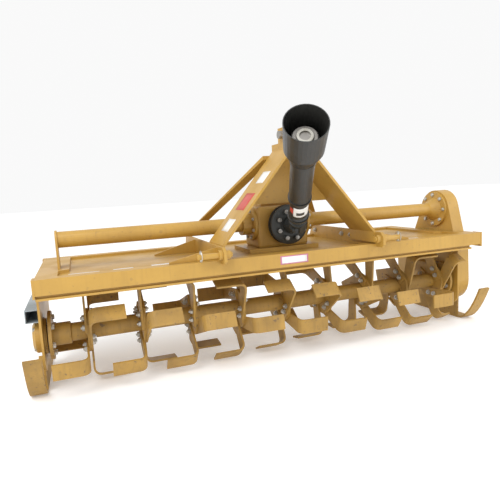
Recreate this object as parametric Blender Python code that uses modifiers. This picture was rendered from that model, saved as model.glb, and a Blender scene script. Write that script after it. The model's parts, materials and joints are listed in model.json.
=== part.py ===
"""Rotary tiller for a three-point hitch, as separate named pieces.

All sizes are in metres. Pieces are modelled from the machine's datum: X runs along the front
beam from its middle, Y back from the beam's front face, Z up from the beam's top. The empty
named datum carries that frame, and puts the skid soles at Z = 0.
"""

import math

import bmesh
import bpy
from mathutils import Matrix, Vector

GAP = 0.0003  # between pieces that touch
RUN = 0.0007  # between a pin and its bore

# Datum, so that the machine stands centred on the origin.
DATUM_X = -0.00765
DATUM_Y = -0.0544
BEAM_HEIGHT = 0.459  # beam top above the skid soles

# Frame
BEAM_HALF = 0.980
BEAM_DEPTH = 0.050
BEAM_TALL = 0.056
BEAM_WALL = 0.006
LIP_DROP = 0.0185
LIP_SET_BACK = 0.003
DECK_DEPTH = 0.620
DECK_DROP = 0.0115
DECK_SHEET = 0.005
REAR_BEAM = 0.050
COVER_NARROW = 0.080
COVER_WIDE = 0.118
COVER_STEP_Y = 0.170

# Sides
SIDE_PLATE = 0.008
SIDE_FRONT_Y = 0.090
SIDE_REAR_Y = 0.550
SIDE_BOTTOM = -0.362
LEFT_PLATE_X = -0.980  # outer face
RIGHT_PLATE_X = 0.930  # outer face
CASE_THICK = 0.065
CASE_TOP_R = 0.095
CASE_BOTTOM_R = 0.108
CASE_DECK_FRONT_Y = 0.128
CASE_DECK_REAR_Y = 0.410

# Axes of the drive
TUBE_Y = 0.257
TUBE_Z = 0.109
TUBE_R = 0.0318
TUBE_WALL = 0.006
TUBE_FLANGE_R = 0.087
ROTOR_Y = 0.200
ROTOR_Z = -0.248

# Rotor
ROTOR_R = 0.0355
ROTOR_HUB_R = 0.0435
ROTOR_STUB_R = 0.020
HUB_FLANGE_R = 0.093
HUB_FLANGE = 0.012
HUB_CLEAR = 0.0057
HOUSING_R = 0.070
HOUSING = 0.010
TINE_PLATES = 9
FIRST_PLATE_X = -0.815
PLATE_PITCH = 0.208
TINE_PLATE_R = 0.085
TINE_PLATE = 0.010
TINES_A_SIDE = 3
TINE_THICK = 0.008
TINE_ROOT_WIDE = 0.045
TINE_WING_WIDE = 0.062
TINE_REACH = 0.205  # radius of the outermost corner
TINE_LATERAL = 0.0615  # from the rotor axis to the middle of a shank
TINE_ROOT = -0.020
TINE_BEND_R = 0.026
TINE_WING = 0.135  # from the plate's middle to the wing's end
TINE_WING_LAST = 0.066
FIRST_PHASE = math.radians(-30.0)
PHASE_STEP = math.radians(13.5)

# Skids and rail
SKID_WIDE = 0.060
SKID_THICK = 0.010
SKID_TIP_Y = 0.020
SKID_TIP_Z = -0.285
SKID_TOE_Y = 0.165
SKID_HEEL_Y = 0.560
SKID_LEG = 0.008
RAIL_SIZE = 0.048
RAIL_WALL = 0.003
RAIL_FRONT_Y = 0.135
RAIL_REAR_Y = 0.540
RAIL_TOP = -0.130

# Hitch and mast
HITCH_X = 0.040
HITCH_HALF = 0.351  # to the middle of each hitch rail
HITCH_PLATE = 0.012
HITCH_TOP = 0.052
HITCH_NOSE_Y = -0.055
HITCH_NOSE_Z = -0.012
HITCH_PIN_R = 0.011
HITCH_PIN_Y = -0.028
HITCH_PIN_Z = 0.024
HITCH_PIN_LENGTH = 0.096
FIN_OUT = 0.190
FIN_PLATE = 0.008
FIN_FRONT_Y = 0.036
FIN_REAR_Y = 0.400
MAST_PLATE = 0.010
MAST_DEPTH = 0.190
MAST_FOOT_TOP = 0.055
MAST_SHOULDER = 0.415
MAST_TOP = 0.505
MAST_HEAD_HALF = 0.036
EAR_FRONT_Y = 0.030
EAR_REAR_Y = 0.120
TOP_PIN_R = 0.0095
TOP_PIN_Y = 0.070
TOP_PIN_Z = 0.475
WEB_LOW = 0.197
BRACE_WIDE = 0.045
BRACE_THICK = 0.010

# Gearbox and clutch
BOX_X = 0.035
BOX_HALF = 0.120
BOX_FRONT_Y = 0.185
BOX_DEPTH = 0.172
BOX_BOTTOM = 0.004
BOX_TOP = 0.186
INPUT_Z = 0.105
BOSS_R = 0.052
BOSS = 0.015
INPUT_R = 0.0175
CLUTCH_R = 0.085
CLUTCH_FRONT_Y = 0.108
CLUTCH_REAR_Y = 0.168

# Driveline, measured along its own axis from the joint's centre
JOINT_Y = 0.045
LEAN_UP = math.radians(31.6)
LEAN_SIDE = math.radians(21.8)
EAR_IN = 0.026
EAR = 0.010
EAR_HALF = 0.017
CROSS_R = 0.014
CROSS_PIN_R = 0.008
NECK = 0.047
YOKE_R = 0.037
SHAFT_R = 0.024
CORE_R = 0.018
SLEEVE_START = 0.250
LOWER_RING = 0.085
LOWER_GUARD_END = 0.400
LOWER_GUARD_R = 0.036
UPPER_GUARD_START = 0.225
UPPER_GUARD_R = 0.041
BELL_NECK = 0.470
BELL_SHOULDER = 0.530
BELL_MOUTH = 0.650
BELL_R = 0.069
GUARD_WALL = 0.003
SLEEVE_END = 0.490

COLOURS = {
    "paint": ((0.48, 0.30, 0.075, 1.0), 0.45, 0.0),
    "black": ((0.012, 0.014, 0.012, 1.0), 0.5, 0.0),
    "steel": ((0.30, 0.29, 0.27, 1.0), 0.4, 0.9),
    "galvanised": ((0.40, 0.45, 0.48, 1.0), 0.45, 0.8),
}


def clear_scene():
    for thing in list(bpy.data.objects):
        bpy.data.objects.remove(thing, do_unlink=True)


def new_collection(name):
    made = bpy.data.collections.new(name)
    bpy.context.scene.collection.children.link(made)
    return made


clear_scene()
tiller = new_collection("rotary_tiller")
cutters = new_collection("cutters")
cutters.hide_render = True
datum = bpy.data.objects.new("datum", None)
datum.location = (DATUM_X, DATUM_Y, BEAM_HEIGHT)
tiller.objects.link(datum)


def finish(name):
    """One of the four finishes, made the first time that it is asked for."""
    made = bpy.data.materials.get(name)
    if made is None:
        colour, roughness, metallic = COLOURS[name]
        made = bpy.data.materials.new(name)
        made.use_nodes = True
        shader = made.node_tree.nodes["Principled BSDF"]
        shader.inputs["Base Color"].default_value = colour
        shader.inputs["Roughness"].default_value = roughness
        shader.inputs["Metallic"].default_value = metallic
    return made


def place(piece, material=None, parent=None):
    """Puts a piece with the others, or with the cutters if it has no finish."""
    if material is None:
        cutters.objects.link(piece)
        piece.hide_render = True
        piece.display_type = "WIRE"
    else:
        tiller.objects.link(piece)
        piece.data.materials.append(finish(material))
    piece.parent = parent or datum
    return piece


def mesh_of(name, fill, smooth=True):
    shape = bmesh.new()
    fill(shape)
    data = bpy.data.meshes.new(name)
    shape.to_mesh(data)
    shape.free()
    if smooth:
        data.shade_smooth()
        data.set_sharp_from_angle(angle=math.radians(35))
    return bpy.data.objects.new(name, data)


def block(name, low, high, material=None, parent=None):
    """An upright box between two corners."""
    low, high = Vector(low), Vector(high)

    def fill(shape):
        size = Matrix.Diagonal((*(high - low), 1.0))
        bmesh.ops.create_cube(shape, size=1.0, matrix=Matrix.Translation((low + high) / 2) @ size)

    return place(mesh_of(name, fill, smooth=False), material, parent)


def rod(name, start, end, radius, material=None, parent=None, sides=24):
    """A straight round bar between two points."""
    start, end = Vector(start), Vector(end)
    along = end - start

    def fill(shape):
        turn = along.to_track_quat("Z", "Y").to_matrix().to_4x4()
        bmesh.ops.create_cone(
            shape,
            cap_ends=True,
            segments=sides,
            radius1=radius,
            radius2=radius,
            depth=along.length,
            matrix=Matrix.Translation((start + end) / 2) @ turn,
        )

    return place(mesh_of(name, fill), material, parent)


def turned(name, profile, origin, axis, material=None, parent=None, sides=32):
    """A turned piece: profile lists (distance along the axis, radius), closed on the axis."""
    points = [Vector((radius, 0.0, along)) for along, radius in profile]
    spine = Vector(axis).to_track_quat("Z", "Y").to_matrix().to_4x4()

    def fill(shape):
        ring = [shape.verts.new(point) for point in points]
        edges = [shape.edges.new(pair) for pair in zip(ring, ring[1:] + ring[:1])]
        bmesh.ops.spin(
            shape,
            geom=ring + edges,
            cent=(0, 0, 0),
            axis=(0, 0, 1),
            angle=math.tau,
            steps=sides,
        )
        bmesh.ops.remove_doubles(shape, verts=shape.verts, dist=1e-6)
        loose = [edge for edge in shape.edges if not edge.link_faces]
        bmesh.ops.delete(shape, geom=loose, context="EDGES")
        bmesh.ops.recalc_face_normals(shape, faces=shape.faces)
        bmesh.ops.transform(shape, matrix=Matrix.Translation(origin) @ spine, verts=shape.verts)

    return place(mesh_of(name, fill), material, parent)


PLANES = {  # where a flat outline's own x, y and thickness point
    "YZ": Matrix(((0, 0, 1), (1, 0, 0), (0, 1, 0))).to_4x4(),
    "XZ": Matrix(((1, 0, 0), (0, 0, -1), (0, 1, 0))).to_4x4(),
    "XY": Matrix.Identity(4),
}


def flat(name, loops, plane, low, high, material=None, parent=None):
    """A flat outline, with any holes, given thickness from low to high across its plane."""
    curve = bpy.data.curves.new(name, "CURVE")
    curve.dimensions = "2D"
    curve.fill_mode = "BOTH"
    curve.extrude = (high - low) / 2
    for loop in loops:
        spline = curve.splines.new("POLY")
        spline.points.add(len(loop) - 1)
        for point, (u, v) in zip(spline.points, loop):
            point.co = (u, v, 0.0, 1.0)
        spline.use_cyclic_u = True
    drawn = bpy.data.objects.new(name + "_outline", curve)
    bpy.context.scene.collection.objects.link(drawn)
    graph = bpy.context.evaluated_depsgraph_get()
    data = bpy.data.meshes.new_from_object(drawn.evaluated_get(graph))
    bpy.data.objects.remove(drawn, do_unlink=True)
    data.name = name
    shape = bmesh.new()
    shape.from_mesh(data)
    bmesh.ops.remove_doubles(shape, verts=shape.verts, dist=1e-6)
    middle = (low + high) / 2
    if plane == "XZ":
        middle = -middle
    turn = PLANES[plane] @ Matrix.Translation((0, 0, middle))
    bmesh.ops.transform(shape, matrix=turn, verts=shape.verts)
    bmesh.ops.recalc_face_normals(shape, faces=shape.faces)
    shape.to_mesh(data)
    shape.free()
    data.materials.clear()
    return place(bpy.data.objects.new(name, data), material, parent)


def arc(centre, radius, start, end, steps):
    """Points on an arc, with the angles in degrees."""
    turns = [math.radians(start + (end - start) * i / steps) for i in range(steps + 1)]
    return [(centre[0] + radius * math.cos(t), centre[1] + radius * math.sin(t)) for t in turns]


def hull(name, points, material=None, parent=None):
    """A flat bar whose two ends are cut to different planes."""

    def fill(shape):
        for point in points:
            shape.verts.new(point)
        bmesh.ops.convex_hull(shape, input=shape.verts)
        bmesh.ops.recalc_face_normals(shape, faces=shape.faces)

    return place(mesh_of(name, fill, smooth=False), material, parent)


def combine(piece, others, operation):
    """Adds or cuts other shapes. They must be cutters."""
    for other in others:
        step = piece.modifiers.new(other.name, "BOOLEAN")
        step.operation = operation
        step.solver = "EXACT"
        step.object = other


def round_edges(piece, width, segments=2):
    step = piece.modifiers.new("edges", "BEVEL")
    step.width = width
    step.segments = segments
    step.limit_method = "ANGLE"
    step.angle_limit = math.radians(40)


# ---------------------------------------------------------------- frame


def front_beam():
    """A channel that is open to the rear, with a plate on each end."""
    wall, low = BEAM_WALL, -BEAM_TALL
    outline = [
        (0.0, 0.0),
        (BEAM_DEPTH, 0.0),
        (BEAM_DEPTH, -wall),
        (wall, -wall),
        (wall, low + wall),
        (BEAM_DEPTH, low + wall),
        (BEAM_DEPTH, low),
        (0.0, low),
    ]
    beam = flat("front_beam", [outline], "YZ", -BEAM_HALF, BEAM_HALF, "paint")
    ends = []
    for side in (-1, 1):
        inner, outer = side * (BEAM_HALF - wall), side * (BEAM_HALF + 0.001)
        corners = sorted((inner, outer))
        low_corner = (corners[0], -0.001, low - 0.010)
        high_corner = (corners[1], BEAM_DEPTH - 0.001, 0.001)
        ends.append(block(f"beam_end_{side}", low_corner, high_corner))
    combine(beam, ends, "UNION")


def front_lip():
    """The angle under the beam, whose foot shows below it."""
    top, bottom = -BEAM_TALL - GAP, -BEAM_TALL - LIP_DROP
    web, foot = 0.005, 0.008
    back = LIP_SET_BACK + 0.017
    outline = [
        (LIP_SET_BACK, bottom),
        (back, bottom),
        (back, top),
        (back - web, top),
        (back - web, bottom + foot),
        (LIP_SET_BACK, bottom + foot),
    ]
    left = -BEAM_HALF + BEAM_WALL + GAP
    flat("front_lip", [outline], "YZ", left, RIGHT_PLATE_X - SIDE_PLATE, "paint")


def rear_beam():
    wall = BEAM_WALL
    near, far, low = DECK_DEPTH - REAR_BEAM, DECK_DEPTH, -REAR_BEAM
    outer = [(near, low), (far, low), (far, 0.0), (near, 0.0)]
    inner = [(near + wall, low + wall), (far - wall, low + wall)]
    inner += [(far - wall, -wall), (near + wall, -wall)]
    flat("rear_beam", [outer, inner], "YZ", -BEAM_HALF, RIGHT_PLATE_X, "paint")


def case_notch(clear):
    """The gap that deck and cover leave round the gear case: front, rear and inner edge."""
    return CASE_DECK_FRONT_Y - clear, CASE_DECK_REAR_Y + clear, RIGHT_PLATE_X - clear


def deck_panel():
    front, rear = BEAM_WALL + GAP, DECK_DEPTH - REAR_BEAM - GAP
    left, right = -BEAM_HALF + BEAM_WALL + GAP, BEAM_HALF - BEAM_WALL - GAP
    notch_front, notch_rear, notch_x = case_notch(0.010)
    outline = [(left, front), (right, front), (right, notch_front), (notch_x, notch_front)]
    outline += [(notch_x, notch_rear), (RIGHT_PLATE_X, notch_rear), (RIGHT_PLATE_X, rear)]
    outline += [(left, rear)]
    low = -DECK_DROP - DECK_SHEET
    flat("deck_panel", [outline], "XY", low, -DECK_DROP, "paint")


def end_covers():
    """Cover plates that bring the deck's ends up to the beams' top."""
    front, rear = BEAM_DEPTH + GAP, DECK_DEPTH - REAR_BEAM - GAP
    low, high = -DECK_DROP + GAP, -GAP
    edge = BEAM_HALF - BEAM_WALL - GAP
    narrow, wide = BEAM_HALF - COVER_NARROW, BEAM_HALF - COVER_WIDE
    left = [(-edge, front), (-narrow, front), (-narrow, COVER_STEP_Y)]
    left += [(-wide, COVER_STEP_Y + 0.020), (-wide, rear), (-edge, rear)]
    flat("end_cover_left", [left], "XY", low, high, "paint")
    notch_front, notch_rear, notch_x = case_notch(0.010)
    right = [(edge, front), (edge, notch_front), (notch_x, notch_front), (notch_x, notch_rear)]
    right += [(RIGHT_PLATE_X, notch_rear), (RIGHT_PLATE_X, rear), (wide, rear)]
    right += [(wide, COVER_STEP_Y + 0.020), (narrow, COVER_STEP_Y), (narrow, front)]
    flat("end_cover_right", [right], "XY", low, high, "paint")


# ---------------------------------------------------------------- sides


def side_plates():
    top = -DECK_DROP - DECK_SHEET - GAP
    outline = [(SIDE_FRONT_Y, top), (SIDE_FRONT_Y, SIDE_BOTTOM + 0.05)]
    outline += arc((SIDE_FRONT_Y + 0.05, SIDE_BOTTOM + 0.05), 0.05, 180, 270, 5)[1:]
    outline += arc((SIDE_REAR_Y - 0.12, SIDE_BOTTOM + 0.12), 0.12, 270, 360, 6)
    outline += [(SIDE_REAR_Y, top)]
    bore = arc((ROTOR_Y, ROTOR_Z), ROTOR_STUB_R + 0.006, 0, 345, 23)
    for name, outer, side in (
        ("side_plate_left", LEFT_PLATE_X, 1),
        ("side_plate_right", RIGHT_PLATE_X, -1),
    ):
        low, high = sorted((outer, outer + side * SIDE_PLATE))
        flat(name, [outline, bore], "YZ", low, high, "paint")


def gear_case():
    """The tall case of the side drive, from the cross tube down to the rotor."""
    middle_y = ROTOR_Y
    outline = arc((TUBE_Y, TUBE_Z), CASE_TOP_R, 12, 168, 12)
    outline += [(CASE_DECK_FRONT_Y, 0.0), (middle_y - CASE_BOTTOM_R + 0.004, -0.100)]
    outline += arc((middle_y, ROTOR_Z), CASE_BOTTOM_R, 180, 360, 14)
    outline += [(CASE_DECK_REAR_Y - 0.030, -0.080), (CASE_DECK_REAR_Y, 0.0)]
    low = RIGHT_PLATE_X + GAP
    case = flat("gear_case", [outline], "YZ", low, low + CASE_THICK, "paint")
    socket = rod("case_socket", (low - 0.01, ROTOR_Y, ROTOR_Z), (low + 0.02, ROTOR_Y, ROTOR_Z),
                 ROTOR_STUB_R + 0.006)
    combine(case, [socket], "DIFFERENCE")


def bearing_parts():
    """Housings on the inner faces of the side plates, and the cap on the left one's outside."""
    bore = ROTOR_STUB_R + RUN
    for name, face, side in (
        ("bearing_housing_left", LEFT_PLATE_X + SIDE_PLATE + GAP, 1),
        ("bearing_housing_right", RIGHT_PLATE_X - SIDE_PLATE - GAP, -1),
    ):
        ring = [(0.0, bore), (0.0, HOUSING_R), (HOUSING, HOUSING_R - 0.003), (HOUSING, bore)]
        turned(name, ring, (face, ROTOR_Y, ROTOR_Z), (side, 0, 0), "paint", sides=32)
    face = LEFT_PLATE_X - GAP
    cap = [(0.0, 0.0), (0.0, 0.061), (0.022, 0.061), (0.032, 0.048), (0.036, 0.0)]
    turned("bearing_cap_left", cap, (face, ROTOR_Y, ROTOR_Z), (-1, 0, 0), "paint", sides=32)


def skid_outline():
    """The strap's side view: an upturned nose, a flat sole and a raised heel."""
    sole = -BEAM_HEIGHT
    rise = SKID_TIP_Z - sole
    run = SKID_TOE_Y - SKID_TIP_Y
    under = []
    for i in range(9):
        t = i / 8
        under.append((SKID_TIP_Y + run * t, sole + rise * (1 - t) ** 2))
    under += arc((SKID_HEEL_Y - 0.04, sole + 0.06), 0.06, 270, 315, 4)
    over = []
    for i, (y, z) in enumerate(under):
        y0, z0 = under[max(i - 1, 0)]
        y1, z1 = under[min(i + 1, len(under) - 1)]
        slope = Vector((y1 - y0, z1 - z0)).normalized()
        over.append((y - slope.y * SKID_THICK, z + slope.x * SKID_THICK))
    return under + over[::-1]


def skids():
    """Skid shoes, each with the upright that bolts it to its side plate."""
    strap_top = -BEAM_HEIGHT + SKID_THICK / 2
    low_front = (SKID_TOE_Y + 0.005, strap_top)
    left_leg = [low_front, (0.500, strap_top), (0.480, -0.270), (0.400, -0.270)]
    left_leg += [(0.330, -0.330), (SKID_TOE_Y, -0.330)]
    right_leg = [low_front, (0.500, strap_top), (0.480, -0.270), (0.400, -0.270)]
    right_leg += [(0.330, -0.300), (SKID_TOE_Y, -0.300)]
    for name, face, side, leg in (
        ("skid_left", LEFT_PLATE_X, -1, left_leg),
        ("skid_right", RIGHT_PLATE_X + GAP + CASE_THICK, 1, right_leg),
    ):
        near, far = face + side * GAP, face + side * SKID_WIDE
        low, high = sorted((near, far))
        strap = flat(name, [skid_outline()], "YZ", low, high, "paint")
        low, high = sorted((near, near + side * SKID_LEG))
        upright = flat(name + "_upright", [leg], "YZ", low, high)
        combine(strap, [upright], "UNION")


def side_rail():
    """The galvanised box rail on the outside of the left side plate."""
    right = LEFT_PLATE_X - GAP
    left = right - RAIL_SIZE
    low = RAIL_TOP - RAIL_SIZE
    wall = RAIL_WALL
    outer = [(left, low), (right, low), (right, RAIL_TOP), (left, RAIL_TOP)]
    inner = [(left + wall, low + wall), (right - wall, low + wall)]
    inner += [(right - wall, RAIL_TOP - wall), (left + wall, RAIL_TOP - wall)]
    flat("side_rail", [outer, inner], "XZ", RAIL_FRONT_Y, RAIL_REAR_Y, "galvanised")


# ---------------------------------------------------------------- cross drive


def cross_tube():
    box_left, box_right = BOX_X - BOX_HALF - 0.055, BOX_X + BOX_HALF + 0.045
    bracket_x = -0.899
    wall_r = TUBE_R - TUBE_WALL
    start = bracket_x + 0.004 + GAP
    left = [(0.0, wall_r), (0.0, TUBE_R)]
    left += [(box_left - GAP - start, TUBE_R), (box_left - GAP - start, wall_r)]
    turned("drive_tube_left", left, (start, TUBE_Y, TUBE_Z), (1, 0, 0), "paint", sides=28)
    start = box_right + GAP
    end = RIGHT_PLATE_X - start
    right = [(0.0, wall_r), (0.0, TUBE_R), (end - 0.050, TUBE_R), (end - 0.030, 0.046)]
    right += [(end - 0.013, 0.058), (end - 0.012, TUBE_FLANGE_R), (end, TUBE_FLANGE_R)]
    right += [(end, wall_r)]
    turned("drive_tube_right", right, (start, TUBE_Y, TUBE_Z), (1, 0, 0), "paint", sides=32)
    half = 0.046
    outline = [(TUBE_Y - half, GAP), (TUBE_Y + half, GAP), (TUBE_Y + half * 0.8, TUBE_Z)]
    outline += arc((TUBE_Y, TUBE_Z), half * 0.8, 0, 180, 8)[1:]
    flat("tube_bracket", [outline], "YZ", bracket_x - 0.004, bracket_x + 0.004, "paint")


def gearbox():
    front, rear = BOX_FRONT_Y, BOX_FRONT_Y + BOX_DEPTH
    left, right = BOX_X - BOX_HALF, BOX_X + BOX_HALF
    body = block("gearbox", (left, front, BOX_BOTTOM), (right, rear, BOX_TOP), "paint")
    round_edges(body, 0.012)
    foot_low = (left - 0.050, front - 0.020, -DECK_DROP + GAP)
    foot = block("box_foot", foot_low, (right + 0.040, rear + 0.020, BOX_BOTTOM + 0.002))
    top = block("box_top", (left + 0.030, front + 0.030, BOX_TOP - 0.002),
                (right - 0.030, rear - 0.030, BOX_TOP + 0.021))
    boss = rod("box_boss", (BOX_X, front - BOSS, INPUT_Z), (BOX_X, front + 0.01, INPUT_Z), BOSS_R)
    left_hub = rod("box_hub_left", (left - 0.055, TUBE_Y, TUBE_Z), (left + 0.01, TUBE_Y, TUBE_Z),
                   0.047)
    right_hub = rod("box_hub_right", (right - 0.01, TUBE_Y, TUBE_Z),
                    (right + 0.045, TUBE_Y, TUBE_Z), 0.047)
    combine(body, [foot, top, boss, left_hub, right_hub], "UNION")
    bore = rod("box_bore", (BOX_X, front - BOSS - 0.01, INPUT_Z), (BOX_X, front + 0.02, INPUT_Z),
               INPUT_R + RUN)
    combine(body, [bore], "DIFFERENCE")


# ---------------------------------------------------------------- hitch and mast


def hitch_rails():
    """Upright plates along the deck that carry the lower pins, with a fin at each end."""
    seat, heel = GAP, 2 * GAP
    deck = -DECK_DROP + GAP
    front, rear = BEAM_DEPTH + GAP, DECK_DEPTH - REAR_BEAM - GAP
    outline = [(HITCH_NOSE_Y + 0.012, HITCH_NOSE_Z), (-GAP, HITCH_NOSE_Z), (-GAP, seat)]
    outline += [(front, seat), (front, deck), (rear, deck), (rear, heel)]
    outline += [(DECK_DEPTH - 0.005, heel), (DECK_DEPTH - 0.030, HITCH_TOP)]
    outline += [(HITCH_NOSE_Y + 0.020, HITCH_TOP), (HITCH_NOSE_Y, HITCH_TOP - 0.020)]
    outline += [(HITCH_NOSE_Y, HITCH_NOSE_Z + 0.012)]
    hole = arc((HITCH_PIN_Y, HITCH_PIN_Z), HITCH_PIN_R + GAP, 0, 337.5, 15)
    for name, side in (("left", -1), ("right", 1)):
        middle = HITCH_X + side * HITCH_HALF
        low, high = middle - HITCH_PLATE / 2, middle + HITCH_PLATE / 2
        plate = flat(f"hitch_rail_{name}", [outline, hole], "YZ", low, high, "paint")
        inner = middle + side * (HITCH_PLATE / 2 - 0.001)
        tip = inner + side * FIN_OUT
        fins = []
        for place_name, y, base in (("front", FIN_FRONT_Y, seat), ("rear", FIN_REAR_Y, deck)):
            base += 0.0006
            fin = [(inner, base), (inner, HITCH_TOP - 0.004), (tip, base + 0.006), (tip, base)]
            fins.append(flat(f"fin_{name}_{place_name}", [fin], "XZ", y, y + FIN_PLATE))
        combine(plate, fins, "UNION")


def hitch_pins():
    """Lower link pins: a collar outside the rail and a nut inside it."""
    for name, side in (("left", -1), ("right", 1)):
        face = HITCH_X + side * (HITCH_HALF + HITCH_PLATE / 2 + GAP)
        back = -(HITCH_PLATE + 2 * GAP)
        profile = [(back - 0.026, 0.0), (back - 0.026, HITCH_PIN_R), (back - 0.018, HITCH_PIN_R)]
        profile += [(back - 0.018, 0.017), (back, 0.017), (back, HITCH_PIN_R)]
        profile += [(0.0, HITCH_PIN_R), (0.0, 0.019), (0.014, 0.019), (0.014, HITCH_PIN_R)]
        profile += [(HITCH_PIN_LENGTH - 0.003, HITCH_PIN_R), (HITCH_PIN_LENGTH, 0.008)]
        profile += [(HITCH_PIN_LENGTH, 0.0)]
        origin = (face, HITCH_PIN_Y, HITCH_PIN_Z)
        turned(f"hitch_pin_{name}", profile, origin, (side, 0, 0), "paint", sides=20)


def mast_line(offset):
    """The mast plate's middle line in the front view, moved outwards by offset."""
    foot = HITCH_HALF - HITCH_PLATE / 2 - MAST_PLATE / 2 - GAP
    lean = math.atan2(foot - MAST_HEAD_HALF, MAST_SHOULDER - MAST_FOOT_TOP)
    shift = offset * math.tan(lean / 2)
    return [
        (foot + offset, -DECK_DROP + 0.018),
        (foot + offset, MAST_FOOT_TOP + shift),
        (MAST_HEAD_HALF + offset, MAST_SHOULDER + shift),
        (MAST_HEAD_HALF + offset, MAST_TOP),
    ]


def mast_plates():
    half = MAST_PLATE / 2
    outline = mast_line(half) + mast_line(-half)[::-1]
    for name, side in (("left", -1), ("right", 1)):
        loop = [(HITCH_X + side * u, v) for u, v in outline]
        plate = flat(f"mast_plate_{name}", [loop], "XZ", 0.0, MAST_DEPTH, "paint")
        x0, x1 = sorted((HITCH_X, HITCH_X + side * 0.1))
        shoulder = MAST_SHOULDER - 0.012
        front = block(f"ear_front_{name}", (x0, -0.01, shoulder), (x1, EAR_FRONT_Y, 0.6))
        rear = block(f"ear_rear_{name}", (x0, EAR_REAR_Y, MAST_SHOULDER + 0.030),
                     (x1, MAST_DEPTH + 0.01, 0.6))
        pin = rod(f"ear_hole_{name}", (x0, TOP_PIN_Y, TOP_PIN_Z), (x1, TOP_PIN_Y, TOP_PIN_Z),
                  TOP_PIN_R + GAP, sides=16)
        combine(plate, [front, rear, pin], "DIFFERENCE")


def top_pin():
    reach = MAST_HEAD_HALF + MAST_PLATE / 2 + GAP
    profile = [(-reach - 0.020, 0.0), (-reach - 0.020, 0.016), (-reach, 0.016)]
    profile += [(-reach, TOP_PIN_R), (reach + 0.028, TOP_PIN_R), (reach + 0.032, 0.006)]
    profile += [(reach + 0.032, 0.0)]
    turned("top_pin", profile, (HITCH_X, TOP_PIN_Y, TOP_PIN_Z), (1, 0, 0), "steel", sides=16)


def mast_web():
    """The plate that ties the mast's legs together at the rear, above the cross tube."""
    inner = mast_line(-MAST_PLATE / 2 - GAP)
    (foot, low), (head, high) = inner[1], inner[2]
    slope = (foot - head) / (high - low)
    wide = head + slope * (high - WEB_LOW)
    right = [(head, MAST_SHOULDER + 0.025), (head, high), (wide, WEB_LOW), (wide - 0.045, WEB_LOW)]
    loop = [(HITCH_X + u, v) for u, v in right]
    loop += [(HITCH_X - u, v) for u, v in right[::-1]]
    y = MAST_DEPTH - 0.014
    flat("mast_web", [loop], "XZ", y, y + 0.008, "paint")


def braces():
    """Flat bars from the mast's back down to the rear ends of the hitch rails."""
    head_y = MAST_DEPTH + GAP
    foot_z = HITCH_TOP + GAP
    for name, side in (("left", -1), ("right", 1)):
        head_x = HITCH_X + side * 0.062
        foot_x = HITCH_X + side * HITCH_HALF
        half, thick = BRACE_WIDE / 2, BRACE_THICK
        top = [(head_x - half, 0.385), (head_x + half, 0.385)]
        top += [(head_x + half, 0.385 + thick * 1.6), (head_x - half, 0.385 + thick * 1.6)]
        points = [(x, head_y, z) for x, z in top]
        rear = DECK_DEPTH - 0.050
        points += [(foot_x + dx, y, foot_z) for dx in (-half, half)
                   for y in (rear - thick * 1.3, rear)]
        hull(f"brace_{name}", points, "paint")


# ---------------------------------------------------------------- rotor


def axis_empty(name, location, parent=None):
    """An empty on a joint's axis, which carries what turns or slides there."""
    made = bpy.data.objects.new(name, None)
    made.location = location
    made.parent = parent or datum
    tiller.objects.link(made)
    return made


def rotor_tube(axis):
    left = LEFT_PLATE_X + SIDE_PLATE + 2 * GAP + HOUSING
    right = RIGHT_PLATE_X - SIDE_PLATE - 2 * GAP - HOUSING
    stub = HOUSING - 0.001
    flange_left, flange_right = left + HUB_CLEAR, right - HUB_CLEAR
    last = FIRST_PLATE_X + (TINE_PLATES - 1) * PLATE_PITCH
    profile = [(left - stub, 0.0), (left - stub, ROTOR_STUB_R), (flange_left, ROTOR_STUB_R)]
    profile += [(flange_left, HUB_FLANGE_R), (flange_left + HUB_FLANGE, HUB_FLANGE_R)]
    profile += [(flange_left + HUB_FLANGE, ROTOR_HUB_R), (-0.879, ROTOR_HUB_R)]
    profile += [(-0.876, ROTOR_R), (last + 0.018, ROTOR_R), (last + 0.021, ROTOR_HUB_R)]
    profile += [(flange_right - HUB_FLANGE, ROTOR_HUB_R)]
    profile += [(flange_right - HUB_FLANGE, HUB_FLANGE_R), (flange_right, HUB_FLANGE_R)]
    profile += [(flange_right, ROTOR_STUB_R), (right + stub, ROTOR_STUB_R), (right + stub, 0.0)]
    turned("rotor_tube", profile, (0, 0, 0), (1, 0, 0), "paint", axis, sides=32)


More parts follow.
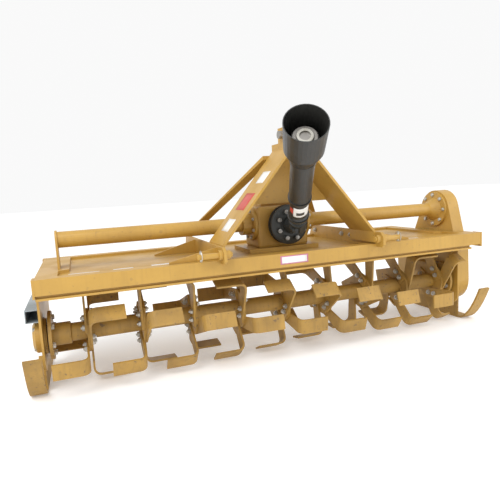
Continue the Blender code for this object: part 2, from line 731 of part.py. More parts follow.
def tine(shape, angle, side, reach):
    """Adds one blade: a shank along its plate, a quarter bend and a wing across the ground."""
    back = TINE_LATERAL + TINE_WING_WIDE / 2
    outer = math.sqrt(TINE_REACH**2 - back**2)
    middle = outer - TINE_THICK / 2
    offset = TINE_PLATE / 2 + TINE_THICK / 2 - 0.001
    steps = 4
    path = [(TINE_ROOT, offset, 0.0), (0.055, offset, 0.4), (middle - TINE_BEND_R, offset, 1.0)]
    for i in range(1, steps + 1):
        turn = math.radians(90 * i / steps)
        path.append((
            middle - TINE_BEND_R + TINE_BEND_R * math.sin(turn),
            offset + TINE_BEND_R * (1 - math.cos(turn)),
            1.0,
        ))
    path.append((middle, reach, 1.0))
    out = Vector((0.0, -math.cos(angle), -math.sin(angle)))
    lead = Vector((0.0, math.sin(angle), -math.cos(angle)))
    across = Vector((side, 0.0, 0.0))
    rings = []
    for i, (along, aside, spread) in enumerate(path):
        before, after = path[max(i - 1, 0)], path[min(i + 1, len(path) - 1)]
        run = Vector((after[0] - before[0], after[1] - before[1])).normalized()
        normal = Vector((-run.y, run.x)) * TINE_THICK / 2
        half = (TINE_ROOT_WIDE + (TINE_WING_WIDE - TINE_ROOT_WIDE) * spread) / 2
        ring = []
        for face, edge in ((-1, -1), (-1, 1), (1, 1), (1, -1)):
            point = out * (along + face * normal.x) + across * (aside + face * normal.y)
            ring.append(shape.verts.new(point + lead * (TINE_LATERAL + edge * half)))
        rings.append(ring)
    for first, second in zip(rings, rings[1:]):
        for i in range(4):
            j = (i + 1) % 4
            shape.faces.new((first[i], first[j], second[j], second[i]))
    shape.faces.new(rings[0])
    shape.faces.new(rings[-1])


def tine_plates(axis):
    """Round plates on the rotor tube, with three blades on each face."""
    for index in range(TINE_PLATES):
        x = FIRST_PLATE_X + index * PLATE_PITCH
        half = TINE_PLATE / 2
        ring = [(-half, ROTOR_R + GAP), (-half, TINE_PLATE_R)]
        ring += [(half, TINE_PLATE_R), (half, ROTOR_R + GAP)]
        name = f"tine_plate_{index + 1}"
        plate = turned(name, ring, (x, 0, 0), (1, 0, 0), "paint", axis, sides=28)
        phase = FIRST_PHASE + index * PHASE_STEP
        last = index == TINE_PLATES - 1

        def fill(shape):
            for side in (-1, 1):
                reach = TINE_WING_LAST if last and side == 1 else TINE_WING
                for blade in range(TINES_A_SIDE):
                    shift = math.radians(60) if side == -1 else 0.0
                    angle = phase + shift + blade * math.tau / TINES_A_SIDE
                    lean = math.asin(TINE_LATERAL / (TINE_REACH * 0.94))
                    tine(shape, angle - lean, side, reach)
            bmesh.ops.recalc_face_normals(shape, faces=shape.faces)
            bmesh.ops.translate(shape, vec=(x, 0, 0), verts=shape.verts)

        blades = place(mesh_of(name + "_blades", fill, smooth=False), None, axis)
        combine(plate, [blades], "UNION")


# ---------------------------------------------------------------- clutch and driveline


def driveline_axis():
    """The driveline's direction: forwards, up by one lean and to the left by the other."""
    level = math.cos(LEAN_UP)
    return Vector((-level * math.sin(LEAN_SIDE), -level * math.cos(LEAN_SIDE), math.sin(LEAN_UP)))


def ear(name, direction, pin, parent):
    """A yoke's ear: a plate whose round end is on the pin, running back along direction."""
    direction, pin = Vector(direction), Vector(pin)
    across = direction.cross(pin)
    frame = Matrix((direction, across, pin)).transposed().to_4x4()
    outline = arc((0, 0), EAR_HALF, 90, 270, 8)
    outline += [(NECK + 0.004, -EAR_HALF), (NECK + 0.004, EAR_HALF)]
    piece = flat(name, [outline], "XY", EAR_IN, EAR_IN + EAR, None, parent)
    piece.matrix_local = frame
    return piece


def slip_clutch(axis):
    """The disc pack of the slip clutch, on the gearbox's input shaft."""
    hub, rear = 0.040, CLUTCH_REAR_Y - JOINT_Y
    front = CLUTCH_FRONT_Y - JOINT_Y
    profile = [(front, 0.0), (front, 0.050), (front + 0.008, CLUTCH_R - 0.008)]
    profile += [(front + 0.012, CLUTCH_R), (front + 0.022, CLUTCH_R), (front + 0.022, 0.074)]
    profile += [(front + 0.034, 0.074), (front + 0.034, CLUTCH_R), (front + 0.046, CLUTCH_R)]
    profile += [(front + 0.050, 0.070), (rear - 0.008, hub), (rear, hub)]
    seat = BOX_FRONT_Y + 0.015 - JOINT_Y
    profile += [(rear, INPUT_R), (seat, INPUT_R), (seat, 0.0)]
    turned("slip_clutch", profile, (0, 0, 0), (0, 1, 0), "black", axis, sides=36)


def yoke(name, direction, pin, cross, parent, neck_end):
    """A fork with two ears; the cross's pin joins them, or stops short of its middle."""
    direction, pin = Vector(direction).normalized(), Vector(pin).normalized()
    profile = [(NECK, 0.0), (NECK, YOKE_R), (NECK + 0.008, YOKE_R)]
    profile += [(NECK + 0.014, SHAFT_R), (neck_end, SHAFT_R), (neck_end, 0.0)]
    fork = turned(name, profile, (0, 0, 0), direction, "black", parent, sides=28)
    parts = []
    for side in (-1, 1):
        parts.append(ear(f"{name}_ear_{side}", direction, pin * side, parent))
        if not cross:
            start, end = pin * side * (CROSS_R + RUN), pin * side * (EAR_IN + 0.004)
            parts.append(rod(f"{name}_stub_{side}", start, end, CROSS_PIN_R, None, parent, 16))
    if cross:
        reach = EAR_IN + 0.004
        parts.append(rod(f"{name}_pin", pin * -reach, pin * reach, CROSS_PIN_R, None, parent, 16))
        ball = mesh_of(
            f"{name}_ball",
            lambda shape: bmesh.ops.create_uvsphere(
                shape, u_segments=16, v_segments=10, radius=CROSS_R
            ),
        )
        parts.append(place(ball, None, parent))
    combine(fork, parts, "UNION")
    return fork


def lower_guard(axis, direction):
    """The implement half of the guard, on the ring that the shaft turns in."""
    inner = LOWER_GUARD_R - GUARD_WALL
    bore = SHAFT_R + RUN
    profile = [(LOWER_RING, bore), (LOWER_RING, 0.040), (LOWER_RING + 0.022, 0.040)]
    profile += [(LOWER_RING + 0.030, LOWER_GUARD_R), (LOWER_GUARD_END, LOWER_GUARD_R)]
    profile += [(LOWER_GUARD_END, inner), (LOWER_RING + 0.020, inner), (LOWER_RING + 0.012, bore)]
    turned("guard_lower", profile, (0, 0, 0), direction, "black", axis, sides=32)


def upper_guard(axis, direction):
    """The tractor half: a tube over the lower one, and the bell round the last yoke."""
    wall, bore = GUARD_WALL, SHAFT_R + RUN
    slide = LOWER_GUARD_R + RUN
    profile = [(UPPER_GUARD_START, slide), (UPPER_GUARD_START, UPPER_GUARD_R)]
    profile += [(BELL_NECK, UPPER_GUARD_R), (BELL_SHOULDER, BELL_R - 0.004), (BELL_MOUTH, BELL_R)]
    profile += [(BELL_MOUTH, BELL_R - wall), (BELL_SHOULDER + 0.002, BELL_R - 0.004 - wall)]
    profile += [(BELL_NECK + 0.012, UPPER_GUARD_R - 0.001), (BELL_NECK + 0.006, bore)]
    profile += [(BELL_NECK - 0.006, bore), (BELL_NECK - 0.012, slide)]
    turned("guard_upper", profile, (0, 0, 0), direction, "black", axis, sides=32)


def lower_shaft(axis, direction, pin):
    """The yoke at the clutch, with the core that slides in the sleeve."""
    fork = yoke("shaft_lower", direction, pin, False, axis, LOWER_RING + 0.030)
    start, end = direction * (LOWER_RING + 0.025), direction * (LOWER_GUARD_END - 0.030)
    core = rod("shaft_core", start, end, CORE_R, None, axis)
    combine(fork, [core], "UNION")


def upper_shaft(axis, direction, pin):
    """The sleeve, and the coupling for the tractor's shaft inside the bell."""
    bore = CORE_R + RUN
    top = SLEEVE_END
    profile = [(SLEEVE_START, bore), (SLEEVE_START, SHAFT_R), (top, SHAFT_R), (top, 0.031)]
    profile += [(top + 0.020, 0.034), (top + 0.050, 0.034), (top + 0.056, 0.028)]
    profile += [(top + 0.100, 0.028), (top + 0.102, 0.026), (top + 0.102, INPUT_R)]
    profile += [(top + 0.030, INPUT_R), (top + 0.030, bore)]
    sleeve = turned("shaft_upper", profile, (0, 0, 0), direction, "steel", axis, sides=28)
    ears = []
    for side in (-1, 1):
        middle = direction * (top + 0.035) + pin * side * 0.038
        ears.append(rod(f"coupling_ear_{side}", middle - pin * side * 0.012,
                        middle + pin * side * 0.009, 0.016, None, axis, 20))
    combine(sleeve, ears, "UNION")


def drive():
    joint = (BOX_X, JOINT_Y, INPUT_Z)
    clutch = axis_empty("clutch_axis", joint)
    guard = axis_empty("driveline_axis", joint)
    direction = driveline_axis()
    back = Vector((0.0, 1.0, 0.0))
    across = back.cross(direction).normalized()
    pin = direction.cross(across).normalized()
    slip_clutch(clutch)
    yoke("clutch_yoke", back, across, True, clutch, CLUTCH_FRONT_Y - JOINT_Y - GAP)
    lower_guard(guard, direction)
    upper_guard(guard, direction)
    lower_shaft(guard, direction, pin)
    upper_shaft(guard, direction, pin)


front_beam()
front_lip()
rear_beam()
deck_panel()
end_covers()
side_plates()
gear_case()
bearing_parts()
skids()
side_rail()
cross_tube()
gearbox()
hitch_rails()
hitch_pins()
mast_plates()
top_pin()
mast_web()
braces()
rotor = axis_empty("rotor_axis", (0.0, ROTOR_Y, ROTOR_Z))
rotor_tube(rotor)
tine_plates(rotor)
drive()
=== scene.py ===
import json
import math

import bpy
import numpy as np
from mathutils import Matrix, Vector


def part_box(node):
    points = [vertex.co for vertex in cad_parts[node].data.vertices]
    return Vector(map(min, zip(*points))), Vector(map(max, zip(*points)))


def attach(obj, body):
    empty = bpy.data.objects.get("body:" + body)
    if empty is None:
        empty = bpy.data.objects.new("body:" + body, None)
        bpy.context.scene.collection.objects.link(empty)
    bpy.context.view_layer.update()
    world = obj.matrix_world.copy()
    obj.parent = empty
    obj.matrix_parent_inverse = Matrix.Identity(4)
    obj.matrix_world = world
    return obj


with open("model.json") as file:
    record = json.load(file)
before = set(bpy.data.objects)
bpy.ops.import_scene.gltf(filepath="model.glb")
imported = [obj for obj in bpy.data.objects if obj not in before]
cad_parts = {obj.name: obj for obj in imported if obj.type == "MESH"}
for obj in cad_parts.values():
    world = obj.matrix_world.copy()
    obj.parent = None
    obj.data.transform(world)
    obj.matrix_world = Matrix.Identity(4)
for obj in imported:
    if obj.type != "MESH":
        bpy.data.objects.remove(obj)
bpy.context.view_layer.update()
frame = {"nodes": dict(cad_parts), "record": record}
joints = {joint["name"]: joint for joint in frame["record"]["behaviour"]["joints"]}


# Surfaces. A grid of points becomes a mesh, and several shells become one piece.


def gridMesh(grid, wrapU=False, wrapV=False, caps=False):
    # Points and faces of a grid, row by row. Caps close both ends of a tube.
    rows, columns = grid.shape[:2]
    index = np.arange(rows * columns).reshape(rows, columns)
    i = np.arange(rows if wrapU else rows - 1)
    j = np.arange(columns if wrapV else columns - 1)
    i, j = (part.ravel() for part in np.meshgrid(i, j, indexing="ij"))
    k, m = (i + 1) % rows, (j + 1) % columns
    faces = np.stack([index[i, j], index[i, m], index[k, m], index[k, j]], 1).tolist()
    if caps:
        faces += [index[0, ::-1].tolist(), index[-1].tolist()]
    return grid.reshape(-1, 3), faces


def axesFor(direction):
    # Three unit vectors, the last along direction.
    along = Vector(direction).normalized()
    return np.array(along.to_track_quat("Z", "Y").to_matrix()).T


def turnedShell(profile, place, direction, sides=24, turn=0.0):
    """Surface of revolution: p(s, t) = place + r(s) (cos t, sin t) + h(s) along the direction."""
    profile = np.array(profile, float)
    angle = np.linspace(0, 2 * np.pi, sides, endpoint=False)[None, :, None] + turn
    axes = axesFor(direction)
    ring = np.cos(angle) * axes[0] + np.sin(angle) * axes[1]
    grid = profile[:, 1, None, None] * ring + profile[:, 0, None, None] * axes[2]
    return gridMesh(grid + np.array(place, float), wrapV=True, caps=True)


def tubeShell(path, radius, sides=8, closed=False):
    """Tube along a path: p(s, t) = c(s) + r (n cos t + b sin t), with n and b across the path."""
    if closed:
        along = np.roll(path, -1, 0) - np.roll(path, 1, 0)
    else:
        along = np.gradient(path, axis=0)
    along /= np.linalg.norm(along, axis=1)[:, None]
    leastAlong = np.eye(3)[np.argmin(np.abs(along).sum(0))]
    normal = np.cross(along, leastAlong)
    normal /= np.linalg.norm(normal, axis=1)[:, None]
    other = np.cross(along, normal)
    angle = np.linspace(0, 2 * np.pi, sides, endpoint=False)[None, :, None]
    around = np.cos(angle) * normal[:, None] + np.sin(angle) * other[:, None]
    return gridMesh(path[:, None] + radius * around, wrapU=closed, wrapV=True, caps=not closed)


def slabShell(corner, sideU, sideV, steps=6):
    """Flat patch: p(u, v) = corner + u sideU + v sideV, for u and v from 0 to 1."""
    u = np.linspace(0, 1, steps)[:, None, None]
    v = np.linspace(0, 1, steps)[None, :, None]
    corner, sideU, sideV = (np.array(part, float) for part in (corner, sideU, sideV))
    return gridMesh(corner + u * sideU + v * sideV)


def bandShell(start, end, radius, fromAngle, toAngle):
    """Part of a cylinder: p(s, t) = c + s a + r (n cos t + b sin t), between two angles."""
    axes = axesFor(driveAxis)
    angle = np.radians(np.linspace(fromAngle, toAngle, 24))[None, :, None]
    along = np.linspace(start, end, 8)[:, None, None]
    around = np.cos(angle) * axes[0] + np.sin(angle) * axes[1]
    return gridMesh(np.array(clutchPlace) + along * axes[2] + radius * around)


def softenEdges(piece, width):
    edge = piece.modifiers.new("softEdge", "BEVEL")
    edge.width = width
    edge.segments = 2
    edge.limit_method = "ANGLE"
    edge.angle_limit = math.radians(40)
    edge.harden_normals = True


def makePiece(name, shells, material, body, thickness=0.0):
    # One object from several shells, riding on a body.
    points, faces, start = [], [], 0
    for shellPoints, shellFaces in shells:
        points.append(shellPoints)
        faces += [[vertex + start for vertex in face] for face in shellFaces]
        start += len(shellPoints)
    mesh = bpy.data.meshes.new(name)
    mesh.from_pydata(np.concatenate(points).tolist(), [], faces)
    mesh.validate()
    piece = bpy.data.objects.new(name, mesh)
    bpy.context.scene.collection.objects.link(piece)
    bpy.context.view_layer.objects.active = piece
    piece.select_set(True)
    bpy.ops.object.mode_set(mode="EDIT")
    bpy.ops.mesh.select_all(action="SELECT")
    bpy.ops.mesh.normals_make_consistent(inside=False)
    bpy.ops.object.mode_set(mode="OBJECT")
    piece.select_set(False)
    mesh.shade_smooth()
    mesh.set_sharp_from_angle(angle=math.radians(32))
    if thickness:
        wall = piece.modifiers.new("wall", "SOLIDIFY")
        wall.thickness = thickness
        wall.offset = 1.0
    mesh.materials.append(material)
    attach(piece, body)
    return piece


# Materials. Each takes the shared masks, on object coordinates.


def maskGroup():
    group = bpy.data.node_groups.new("surfaceMasks", "ShaderNodeTree")
    group.interface.new_socket("Coordinates", in_out="INPUT", socket_type="NodeSocketVector")
    for output in ("Dirt", "Grain", "Chips", "Streaks"):
        group.interface.new_socket(output, in_out="OUTPUT", socket_type="NodeSocketFloat")
    nodes, links = group.nodes, group.links
    start, end = nodes.new("NodeGroupInput"), nodes.new("NodeGroupOutput")

    def noise(scale, detail, low, high, output, stretch=None):
        texture = nodes.new("ShaderNodeTexNoise")
        texture.inputs["Scale"].default_value = scale
        texture.inputs["Detail"].default_value = detail
        mask = nodes.new("ShaderNodeMapRange")
        mask.inputs["From Min"].default_value = low
        mask.inputs["From Max"].default_value = high
        source = start.outputs["Coordinates"]
        if stretch:
            mapping = nodes.new("ShaderNodeMapping")
            mapping.inputs["Scale"].default_value = stretch
            links.new(source, mapping.inputs["Vector"])
            source = mapping.outputs["Vector"]
        links.new(source, texture.inputs["Vector"])
        links.new(texture.outputs["Fac"], mask.inputs["Value"])
        links.new(mask.outputs["Result"], end.inputs[output])

    noise(7.0, 6.0, 0.42, 0.72, "Dirt")
    noise(420.0, 3.0, 0.2, 0.8, "Grain")
    noise(55.0, 8.0, 0.63, 0.70, "Chips")
    noise(26.0, 4.0, 0.50, 0.75, "Streaks", (3.0, 3.0, 0.25))
    return group


masks = maskGroup()


def makeMaterial(name, colour, dirtColour, chipColour, roughness, metallic=0.0, dirt=0.35,
                 chips=0.0, bump=0.06, coat=0.0):
    # Dirt lies over the colour, chips are worn through both, and the grain makes the bump.
    material = bpy.data.materials.new(name)
    material.use_nodes = True
    nodes, links = material.node_tree.nodes, material.node_tree.links
    shader = nodes["Principled BSDF"]
    coordinates = nodes.new("ShaderNodeTexCoord")
    group = nodes.new("ShaderNodeGroup")
    group.node_tree = masks
    links.new(coordinates.outputs["Object"], group.inputs["Coordinates"])

    def scaled(output, factor):
        multiply = nodes.new("ShaderNodeMath")
        multiply.operation = "MULTIPLY"
        multiply.inputs[1].default_value = factor
        links.new(group.outputs[output], multiply.inputs[0])
        return multiply.outputs[0]

    def mixed(factor, first, second):
        mix = nodes.new("ShaderNodeMix")
        mix.data_type = "RGBA"
        links.new(factor, mix.inputs["Factor"])
        if isinstance(first, tuple):
            mix.inputs["A"].default_value = first
        else:
            links.new(first, mix.inputs["A"])
        mix.inputs["B"].default_value = (*second, 1.0)
        return mix.outputs["Result"]

    base = mixed(scaled("Dirt", dirt), (*colour, 1.0), dirtColour)
    base = mixed(scaled("Streaks", dirt * 0.6), base, dirtColour)
    if chips:
        base = mixed(scaled("Chips", chips), base, chipColour)
    links.new(base, shader.inputs["Base Color"])
    rough = nodes.new("ShaderNodeMapRange")
    rough.inputs["To Min"].default_value = roughness
    rough.inputs["To Max"].default_value = min(1.0, roughness + 0.25)
    links.new(group.outputs["Dirt"], rough.inputs["Value"])
    links.new(rough.outputs["Result"], shader.inputs["Roughness"])
    relief = nodes.new("ShaderNodeBump")
    relief.inputs["Strength"].default_value = bump
    relief.inputs["Distance"].default_value = 0.001
    links.new(group.outputs["Grain"], relief.inputs["Height"])
    links.new(relief.outputs["Normal"], shader.inputs["Normal"])
    shader.inputs["Metallic"].default_value = metallic
    shader.inputs["Coat Weight"].default_value = coat
    shader.inputs["Coat Roughness"].default_value = 0.25
    return material


ochre = makeMaterial("ochrePaint", (0.49, 0.285, 0.050), (0.30, 0.17, 0.04), (0.16, 0.10, 0.05),
                     0.42, chips=0.25, coat=0.15)
ochreWorn = makeMaterial("wornOchrePaint", (0.42, 0.245, 0.050), (0.18, 0.11, 0.04),
                         (0.10, 0.07, 0.05), 0.5, dirt=0.6, chips=0.7, bump=0.12)
blackPaint = makeMaterial("blackPaint", (0.016, 0.018, 0.016), (0.06, 0.055, 0.045),
                          (0.14, 0.13, 0.12), 0.42, dirt=0.3, chips=0.2)
blackPlastic = makeMaterial("blackPlastic", (0.012, 0.013, 0.012), (0.045, 0.042, 0.036),
                            (0.05, 0.05, 0.05), 0.38, bump=0.03, coat=0.2)
steel = makeMaterial("workedSteel", (0.36, 0.35, 0.33), (0.14, 0.11, 0.08), (0.5, 0.49, 0.47),
                     0.36, metallic=0.85, dirt=0.4, chips=0.3)
zinc = makeMaterial("zincPlate", (0.55, 0.54, 0.50), (0.30, 0.26, 0.18), (0.7, 0.7, 0.68),
                    0.34, metallic=0.8, dirt=0.4, chips=0.2)
galvanised = makeMaterial("galvanised", (0.40, 0.45, 0.48), (0.26, 0.29, 0.30),
                          (0.55, 0.60, 0.63), 0.48, metallic=0.65, dirt=0.6, chips=0.5, bump=0.1)
labelLook = {"roughness": 0.4, "dirt": 0.3, "bump": 0.02, "coat": 0.3}
labelWhite = makeMaterial("labelWhite", (0.80, 0.79, 0.76), (0.55, 0.48, 0.36),
                          (0.6, 0.55, 0.45), **labelLook)
labelPink = makeMaterial("labelPink", (0.55, 0.16, 0.30), (0.40, 0.18, 0.22),
                         (0.5, 0.3, 0.3), **labelLook)
labelRed = makeMaterial("labelRed", (0.55, 0.05, 0.03), (0.30, 0.08, 0.05),
                        (0.4, 0.2, 0.1), **labelLook)
labelBlack = makeMaterial("labelBlack", (0.02, 0.02, 0.02), (0.10, 0.09, 0.07),
                          (0.2, 0.2, 0.2), **labelLook)
print("materials made")

# The frame's own nodes keep their shapes, and take a finish and soft edges.

looks = {"slip_clutch": blackPaint, "clutch_yoke": blackPaint, "shaft_lower": blackPaint,
         "guard_lower": blackPlastic, "guard_upper": blackPlastic, "shaft_upper": zinc,
         "top_pin": steel, "side_rail": galvanised, "rotor_tube": ochreWorn,
         "skid_left": ochreWorn, "skid_right": ochreWorn}
for name, node in frame["nodes"].items():
    node.data.materials.clear()
    usual = ochreWorn if name.startswith("tine_plate") else ochre
    node.data.materials.append(looks.get(name, usual))
    softenEdges(node, 0.0012)
print("frame finished")


def middle(name):
    low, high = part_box(name)
    return (low + high) / 2


def hexBolt(place, direction, across, tall, stud=0.0):
    # A washer, a six-sided head and any thread that stands out of it.
    washer, radius = 0.0015, across / math.sqrt(3)
    place = Vector(place)
    head = [(washer, radius), (washer + tall * 0.85, radius), (washer + tall, radius * 0.86)]
    shells = [turnedShell([(0, across * 0.62), (washer, across * 0.62)], place, direction, 20),
              turnedShell(head, place, direction, 6, place.x * 9)]
    if stud:
        top = washer + tall
        thread = [(top, across * 0.26), (top + stud, across * 0.24)]
        shells.append(turnedShell(thread, place, direction, 12))
    return shells


def bolts(name, spots, body, material, **sizes):
    shells = [shell for place, direction in spots for shell in hexBolt(place, direction, **sizes)]
    return makePiece(name, shells, material, body)


def boltRing(centre, side, radius, angles):
    # Bolts on a circle that faces along X, with the angles in degrees.
    x, y, z = centre
    return [((x, y + radius * math.cos(turn), z + radius * math.sin(turn)), (side, 0, 0))
            for turn in np.radians(angles)]


# Rotor: two bolts hold each blade, and the hubs bolt to their flanges.

rotorPlace = Vector(joints["rotor_spin"]["pos_m"])
blades = {"plates": 9, "pitch": 0.208, "each side": 3, "first": -30.0, "step": 13.5,
          "off axis": 0.0615, "tip": 0.205, "wing reach": 0.94, "seat": 0.0129,
          "bolt places": (0.004, 0.040)}
lean = math.asin(blades["off axis"] / (blades["tip"] * blades["wing reach"]))
spots = []
for index in range(blades["plates"]):
    plateX = middle("tine_plate_5").x + (index - blades["plates"] // 2) * blades["pitch"]
    for side in (-1, 1):
        for blade in range(blades["each side"]):
            angle = blades["first"] + blades["step"] * index + 120 * blade + (60 if side < 0 else 0)
            turn = math.radians(angle) - lean
            out = Vector((0, -math.cos(turn), -math.sin(turn)))
            lead = Vector((0, math.sin(turn), -math.cos(turn)))
            for along in blades["bolt places"]:
                place = rotorPlace + out * along + lead * blades["off axis"]
                spots.append(((plateX + side * blades["seat"], place.y, place.z), (side, 0, 0)))
bolts("blade_bolts", spots, "rotor", zinc, across=0.019, tall=0.008, stud=0.005)

hub = {"clear": 0.0057, "flange": 0.0121, "ring": 0.068, "bolts": 6}
spots = []
for node, side in (("bearing_housing_left", 1), ("bearing_housing_right", -1)):
    low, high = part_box(node)
    face = (high.x if side > 0 else low.x) + side * (hub["clear"] + hub["flange"])
    angles = 20 + 360 / hub["bolts"] * np.arange(hub["bolts"])
    spots += boltRing((face, rotorPlace.y, rotorPlace.z), side, hub["ring"], angles)
bolts("hub_bolts", spots, "rotor", zinc, across=0.019, tall=0.009)
print("rotor bolted")

# Slip clutch: springs on bolts round the disc pack.

clutchPlace = Vector(joints["clutch_spin"]["pos_m"])
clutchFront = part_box("slip_clutch")[0].y
spring = {"count": 8, "ring": 0.060, "radius": 0.0085, "wire": 0.0021, "turns": 4.5,
          "back": 0.010, "length": 0.022, "rod": 0.0045, "rod length": 0.030,
          "rod back": 0.014, "nut front": 0.0125}
shells, studs = [], []
for index in range(spring["count"]):
    turn = 2 * math.pi * (index + 0.5) / spring["count"]
    x = clutchPlace.x + spring["ring"] * math.cos(turn)
    z = clutchPlace.z + spring["ring"] * math.sin(turn)
    s = np.linspace(0, 1, 90)
    coil = 2 * np.pi * spring["turns"] * s
    path = np.stack([x + spring["radius"] * np.cos(coil),
                     clutchFront + spring["back"] - spring["length"] * s,
                     z + spring["radius"] * np.sin(coil)], 1)
    shells.append(tubeShell(path, spring["wire"]))
    rod = [(0, spring["rod"]), (spring["rod length"], spring["rod"])]
    shells.append(turnedShell(rod, (x, clutchFront + spring["rod back"], z), (0, -1, 0), 12))
    studs.append(((x, clutchFront - spring["nut front"], z), (0, -1, 0)))
makePiece("clutch_springs", shells, blackPaint, "clutch")
bolts("clutch_nuts", studs, "clutch", steel, across=0.015, tall=0.006, stud=0.004)
print("clutch sprung")

# Gearbox: a bolted cover on each side, a lid with four bolts, and a filler plug.

boxLow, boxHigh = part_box("gearbox")
boxMiddle = middle("gearbox")
tube = middle("drive_tube_left")
cover = {"left hub": 0.055, "right hub": 0.045, "thick": 0.014, "ring": 0.062, "bolts": 8,
         "lid bolts": 0.042}
coverProfile = [(0.0, 0.050), (0.0, 0.074), (0.011, 0.074), (0.014, 0.070), (0.014, 0.050)]
shells, spots = [], []
for face, side in ((boxLow.x + cover["left hub"], -1), (boxHigh.x - cover["right hub"], 1)):
    shells.append(turnedShell(coverProfile, (face, tube.y, tube.z), (side, 0, 0), 40))
    angles = 22.5 + 360 / cover["bolts"] * np.arange(cover["bolts"])
    centre = (face + side * cover["thick"], tube.y, tube.z)
    spots += boltRing(centre, side, cover["ring"], angles)
makePiece("gearbox_covers", shells, ochre, "frame")
for dx in (-cover["lid bolts"], cover["lid bolts"]):
    for dy in (-cover["lid bolts"], cover["lid bolts"]):
        spots.append(((boxMiddle.x + dx, tube.y + dy, boxHigh.z), (0, 0, 1)))
bolts("gearbox_bolts", spots, "frame", zinc, across=0.013, tall=0.006)
plug = [(0.0, 0.014), (0.005, 0.014), (0.005, 0.010), (0.014, 0.010), (0.018, 0.006)]
plugPlace = (boxMiddle.x, tube.y, boxHigh.z)
makePiece("filler_plug", [turnedShell(plug, plugPlace, (0, 0, 1), 24)], steel, "frame")

# Gear case: bolts round its outer face, and between its two rounds.

case = {"top ring": 0.083, "low ring": 0.095, "bolts": 7, "step": 26.7}
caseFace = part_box("gear_case")[1].x
angles = case["step"] * np.arange(case["bolts"])
topRing = boltRing((caseFace, tube.y, tube.z), 1, case["top ring"], 10 + angles)
lowRing = boltRing((caseFace, rotorPlace.y, rotorPlace.z), 1, case["low ring"], 190 + angles)
spots = [spot for pair in zip(topRing, lowRing) for spot in pair]
for y, z in ((-0.102, -0.085), (-0.082, -0.20), (0.135, -0.085), (0.12, -0.20)):
    spots.append(((caseFace, tube.y + y, tube.z + z), (1, 0, 0)))
bolts("case_bolts", spots, "frame", zinc, across=0.013, tall=0.006)

# Sides: the tube's flange, the bearing cap, the left side plate and the box rail.

sides = {"flange": 0.012, "flange ring": 0.073, "cap face": 0.022, "cap ring": 0.052,
         "plate rows": (0.03, 0.13, 0.36), "plate drop": 0.025, "rail back": 0.03,
         "rail drop": 0.024}
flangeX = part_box("drive_tube_right")[1].x - sides["flange"]
spots = boltRing((flangeX, tube.y, tube.z), -1, sides["flange ring"], range(0, 360, 45))
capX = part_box("bearing_cap_left")[1].x - sides["cap face"]
capCentre = (capX, rotorPlace.y, rotorPlace.z)
spots += boltRing(capCentre, -1, sides["cap ring"], range(45, 405, 90))
plateLow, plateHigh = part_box("side_plate_left")
for y in sides["plate rows"]:
    spots.append(((plateLow.x, plateLow.y + y, plateHigh.z - sides["plate drop"]), (-1, 0, 0)))
railLow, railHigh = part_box("side_rail")
railSpot = (railLow.x, railHigh.y - sides["rail back"], railHigh.z - sides["rail drop"])
spots.append((railSpot, (-1, 0, 0)))
bolts("side_bolts", spots, "frame", zinc, across=0.015, tall=0.007)
print("gearbox and sides bolted")

# Hitch: linchpins through the lower pins, and bolts inside the rails.

linchpin = {"in from end": 0.014, "ring wide": 0.020, "ring tall": 0.021, "wire": 0.0016,
            "lift": 0.002, "points": 48}
pinProfile = [(-0.016, 0.004), (0.020, 0.004)]
shells = []
for name, side in (("hitch_pin_left", -1), ("hitch_pin_right", 1)):
    low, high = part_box(name)
    inset = linchpin["in from end"]
    x = (low.x + inset) if side < 0 else (high.x - inset)
    centre = middle(name)
    shells.append(turnedShell(pinProfile, (x, centre.y, centre.z), (0, 0, 1), 12))
    turn = np.linspace(0, 2 * np.pi, linchpin["points"], endpoint=False)
    ring = np.stack([np.full(linchpin["points"], x),
                     centre.y + linchpin["ring wide"] * np.cos(turn),
                     centre.z + linchpin["lift"] + linchpin["ring tall"] * np.sin(turn)], 1)
    shells.append(tubeShell(ring, linchpin["wire"], closed=True))
makePiece("linchpins", shells, zinc, "frame")
railBolts = {"places": (0.25, 0.33, 0.60), "drop": 0.026}
spots = []
for name, side in (("hitch_rail_left", 1), ("hitch_rail_right", -1)):
    low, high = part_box(name)
    inner = high.x if side > 0 else low.x
    for y in railBolts["places"]:
        spots.append(((inner, low.y + y, high.z - railBolts["drop"]), (side, 0, 0)))
bolts("hitch_bolts", spots, "frame", zinc, across=0.019, tall=0.008, stud=0.006)
print("hitch pinned")

# Blank labels on the deck, the front beam, the mast's left leg and the guard.

labelThick = 0.0003
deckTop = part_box("deck_panel")[1].z + 0.0003
beamLow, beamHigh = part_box("front_beam")
shift = boxMiddle.x - 0.035
for name, x, y, wide, deep in (
    ("label_deck_1", -0.86, 0.075, 0.11, 0.06),
    ("label_deck_2", -0.70, 0.080, 0.075, 0.06),
    ("label_deck_3", -0.555, 0.080, 0.12, 0.07),
    ("label_deck_4", 0.62, 0.080, 0.10, 0.05),
):
    slab = slabShell((x + shift, y + beamLow.y, deckTop), (wide, 0, 0), (0, deep, 0))
    makePiece(name, [slab], labelWhite, "frame", labelThick)
front = beamLow.y + 0.0008
for name, material, x, y, low, wide, tall in (
    ("label_beam_edge", labelPink, -0.062, front, 0.045, 0.124, 0.034),
    ("label_beam", labelWhite, -0.056, front - 0.0005, 0.041, 0.112, 0.026),
):
    slab = slabShell((x + shift, y, beamHigh.z - low), (wide, 0, 0), (0, 0, tall))
    makePiece(name, [slab], material, "frame", labelThick)
hitchX = (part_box("mast_plate_left")[0].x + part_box("mast_plate_right")[1].x) / 2
legFoot = np.array((hitchX - 0.3447, beamLow.y + 0.001, beamHigh.z + 0.055))
legUp = np.array((0.645, 0, 0.764))
legOut = np.array((-0.764, 0, 0.645)) * 0.0006
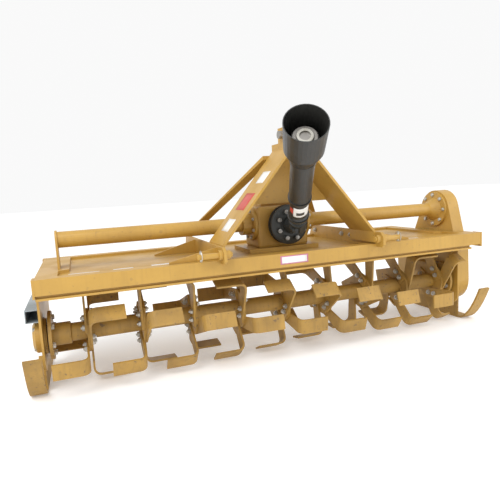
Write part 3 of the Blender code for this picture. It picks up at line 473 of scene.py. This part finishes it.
for name, material, along, back, size in (
    ("label_mast_low", labelWhite, 0.060, 0.050, (0.060, 0.085)),
    ("label_mast_mid", labelRed, 0.165, 0.040, (0.085, 0.100)),
    ("label_mast_top", labelWhite, 0.300, 0.040, (0.060, 0.080)),
):
    corner = legFoot + legUp * along + legOut + np.array((0, back, 0))
    slab = slabShell(corner, legUp * size[0], (0, size[1], 0))
    makePiece(name, [slab], material, "frame", labelThick)
driveAxis = Vector(joints["driveline_slide"]["axis"])
for name, material, start, end, low, high, radius in (
    ("label_guard_white", labelWhite, 0.135, 0.200, -130, -20, 0.0364),
    ("label_guard_red", labelRed, 0.150, 0.185, -160, -132, 0.0364),
    ("label_guard_black", labelBlack, 0.150, 0.170, -110, -60, 0.0370),
):
    makePiece(name, [bandShell(start, end, radius, low, high)], material, "driveline", labelThick)

# Driveline: a collar on the coupling in the bell, and rings round the guard.

collar = [(0.0, 0.029), (0.0, 0.040), (0.006, 0.043), (0.020, 0.043), (0.026, 0.038),
          (0.026, 0.029)]
collarPlace = clutchPlace + driveAxis * 0.560
makePiece("coupling_collar", [turnedShell(collar, collarPlace, driveAxis, 32)], steel,
          "driveline_coupling")
guardRing = {"width": 0.012, "inside": 0.001, "outside": 0.003}
for name, body, place, radius in (
    ("guard_ring_226", "driveline_outer", 0.2265, 0.0412),
    ("guard_ring_464", "driveline_outer", 0.4640, 0.0412),
    ("guard_ring_90", "driveline", 0.0900, 0.0402),
):
    inside, outside = radius - guardRing["inside"], radius + guardRing["outside"]
    width = guardRing["width"]
    ring = [(0.0, inside), (0.0, outside), (width, outside), (width, inside)]
    shell = turnedShell(ring, clutchPlace + driveAxis * place, driveAxis, 36)
    makePiece(name, [shell], blackPlastic, body)
print("labels and driveline placed")

# Stage: pale floor, soft light, and the camera.


def areaLight(name, place, target, size, power):
    light = bpy.data.lights.new(name, "AREA")
    light.size = size
    light.energy = power
    lamp = bpy.data.objects.new(name, light)
    lamp.location = place
    lamp.rotation_euler = (Vector(target) - Vector(place)).to_track_quat("-Z", "Y").to_euler()
    bpy.context.scene.collection.objects.link(lamp)


reach = 30
floorCorners = [(-reach, -reach, 0), (reach, -reach, 0), (reach, reach, 0), (-reach, reach, 0)]
floorMesh = bpy.data.meshes.new("floor")
floorMesh.from_pydata(floorCorners, [], [(0, 1, 2, 3)])
floor = bpy.data.objects.new("floor", floorMesh)
bpy.context.scene.collection.objects.link(floor)
floorMaterial = bpy.data.materials.new("floorWhite")
floorMaterial.use_nodes = True
floorShader = floorMaterial.node_tree.nodes["Principled BSDF"]
floorShader.inputs["Base Color"].default_value = (0.92, 0.92, 0.92, 1)
floorShader.inputs["Roughness"].default_value = 0.9
floorShader.inputs["Emission Color"].default_value = (1, 1, 1, 1)
floorShader.inputs["Emission Strength"].default_value = 0.18
floorMesh.materials.append(floorMaterial)

world = bpy.data.worlds.new("studio")
world.use_nodes = True
bpy.context.scene.world = world
background = world.node_tree.nodes["Background"]
background.inputs["Color"].default_value = (1, 1, 1, 1)
background.inputs["Strength"].default_value = 0.95
areaLight("key", (-2.5, -2.2, 4.0), (0, 0, 0.3), 3.0, 130)
areaLight("fill", (3.0, -2.5, 2.0), (0, 0, 0.4), 2.5, 40)

camera = bpy.data.objects.new("camera", bpy.data.cameras.new("camera"))
bpy.context.scene.collection.objects.link(camera)
bpy.context.scene.camera = camera
camera.data.lens = 33.72
camera.data.sensor_width = 36
yaw, pitch, roll = (math.radians(value) for value in (19.81, 7.52, -3.15))
level = math.cos(pitch)
forward = Vector((math.sin(yaw) * level, math.cos(yaw) * level, -math.sin(pitch)))
levelRight = Vector((math.cos(yaw), -math.sin(yaw), 0))
levelUp = levelRight.cross(forward)
right = levelRight * math.cos(roll) + levelUp * math.sin(roll)
up = levelUp * math.cos(roll) - levelRight * math.sin(roll)
facing = Matrix((right, up, -forward)).transposed()
camera.matrix_world = Matrix.Translation((-0.8167, -1.7604, 0.727)) @ facing.to_4x4()
bpy.context.scene.view_settings.view_transform = "Standard"
print("stage set")
